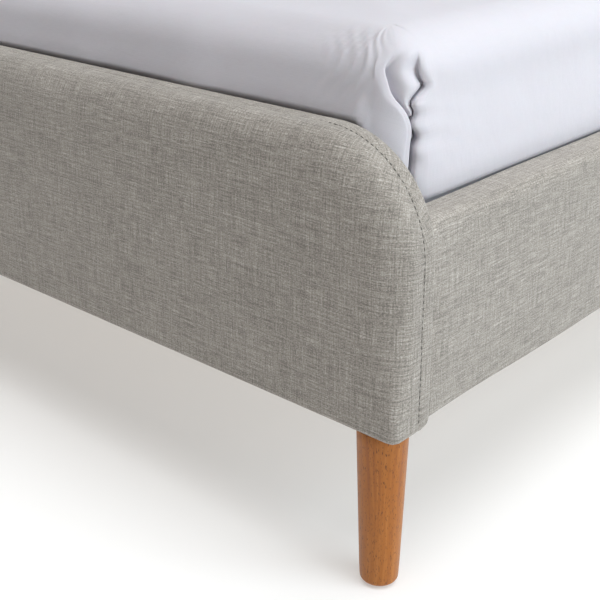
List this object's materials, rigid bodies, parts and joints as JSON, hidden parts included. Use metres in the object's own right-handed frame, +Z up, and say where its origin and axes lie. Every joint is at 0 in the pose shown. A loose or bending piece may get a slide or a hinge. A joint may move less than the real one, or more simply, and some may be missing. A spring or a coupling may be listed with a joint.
{
  "type": "sleigh bed",
  "caption": "Upholstered double bed with a low round-cornered footboard, side rails, a backswept headboard, tapered wooden legs, slatted base, mattress and duvet.",
  "frame": {"origin": "middle of the bounding box, at floor level", "axes": "+Y from the foot end to the head end, +Z up, +X to the right as seen from the foot end"},
  "size_m": [1.516, 2.2356, 1.0603],
  "materials": {
    "upholstery": "warm grey linen-look weave, topstitched",
    "foam": "soft padding",
    "board": "unfinished board, hidden",
    "leg_wood": "honey-brown stain, satin",
    "slat_wood": "planed softwood",
    "zinc_steel": "zinc plated",
    "black_steel": "black powder coat",
    "black_plastic": "matt black",
    "ticking": "off-white quilted knit",
    "cotton": "plain white cotton"
  },
  "bodies": {
    "frame": {"footboard_cover": "upholstery", "footboard_foam": "foam", "footboard_core": "board", "headboard_cover": "upholstery", "headboard_foam": "foam", "headboard_core": "board", "right_rail_cover": "upholstery", "right_rail_foam": "foam", "right_rail_core": "board", "left_rail_cover": "upholstery", "left_rail_foam": "foam", "left_rail_core": "board", "leg_front_right": "leg_wood", "leg_stud_front_right": "zinc_steel", "leg_insert_front_right": "zinc_steel", "corner_bracket_front_right": "zinc_steel", "corner_bolt_front_right_upper": "zinc_steel", "corner_bolt_front_right_lower": "zinc_steel", "leg_front_left": "leg_wood", "leg_stud_front_left": "zinc_steel", "leg_insert_front_left": "zinc_steel", "corner_bracket_front_left": "zinc_steel", "corner_bolt_front_left_upper": "zinc_steel", "corner_bolt_front_left_lower": "zinc_steel", "leg_rear_right": "leg_wood", "leg_stud_rear_right": "zinc_steel", "leg_insert_rear_right": "zinc_steel", "corner_bracket_rear_right": "zinc_steel", "corner_bolt_rear_right_upper": "zinc_steel", "corner_bolt_rear_right_lower": "zinc_steel", "leg_rear_left": "leg_wood", "leg_stud_rear_left": "zinc_steel", "leg_insert_rear_left": "zinc_steel", "corner_bracket_rear_left": "zinc_steel", "corner_bolt_rear_left_upper": "zinc_steel", "corner_bolt_rear_left_lower": "zinc_steel", "slat_ledger_right": "slat_wood", "slat_ledger_left": "slat_wood", "centre_rail": "slat_wood", "rail_saddle_front": "zinc_steel", "rail_saddle_rear": "zinc_steel", "centre_leg_1": "black_steel", "centre_leg_2": "black_steel", "slat_01": "slat_wood", "slat_02": "slat_wood", "slat_03": "slat_wood", "slat_04": "slat_wood", "slat_05": "slat_wood", "slat_06": "slat_wood", "slat_07": "slat_wood", "slat_08": "slat_wood", "slat_09": "slat_wood", "slat_10": "slat_wood", "slat_11": "slat_wood", "slat_12": "slat_wood", "slat_13": "slat_wood"},
    "mattress": {"mattress": "ticking"},
    "duvet": {"duvet": "cotton"},
    "levelling_foot_1": {"levelling_foot_1": "black_plastic"},
    "levelling_foot_2": {"levelling_foot_2": "black_plastic"}
  },
  "joints": [
    {"name": "mattress_lift", "type": "slide", "parent": "frame", "child": "mattress", "axis": [0, 0, 1], "range_m": [0, 0.35]},
    {"name": "duvet_lift", "type": "slide", "parent": "mattress", "child": "duvet", "axis": [0, 0, 1], "range_m": [0, 0.3]},
    {"name": "levelling_foot_1_screw", "type": "slide", "parent": "frame", "child": "levelling_foot_1", "axis": [0, 0, 1], "range_m": [0, 0.012]},
    {"name": "levelling_foot_2_screw", "type": "slide", "parent": "frame", "child": "levelling_foot_2", "axis": [0, 0, 1], "range_m": [0, 0.012]}
  ]
}
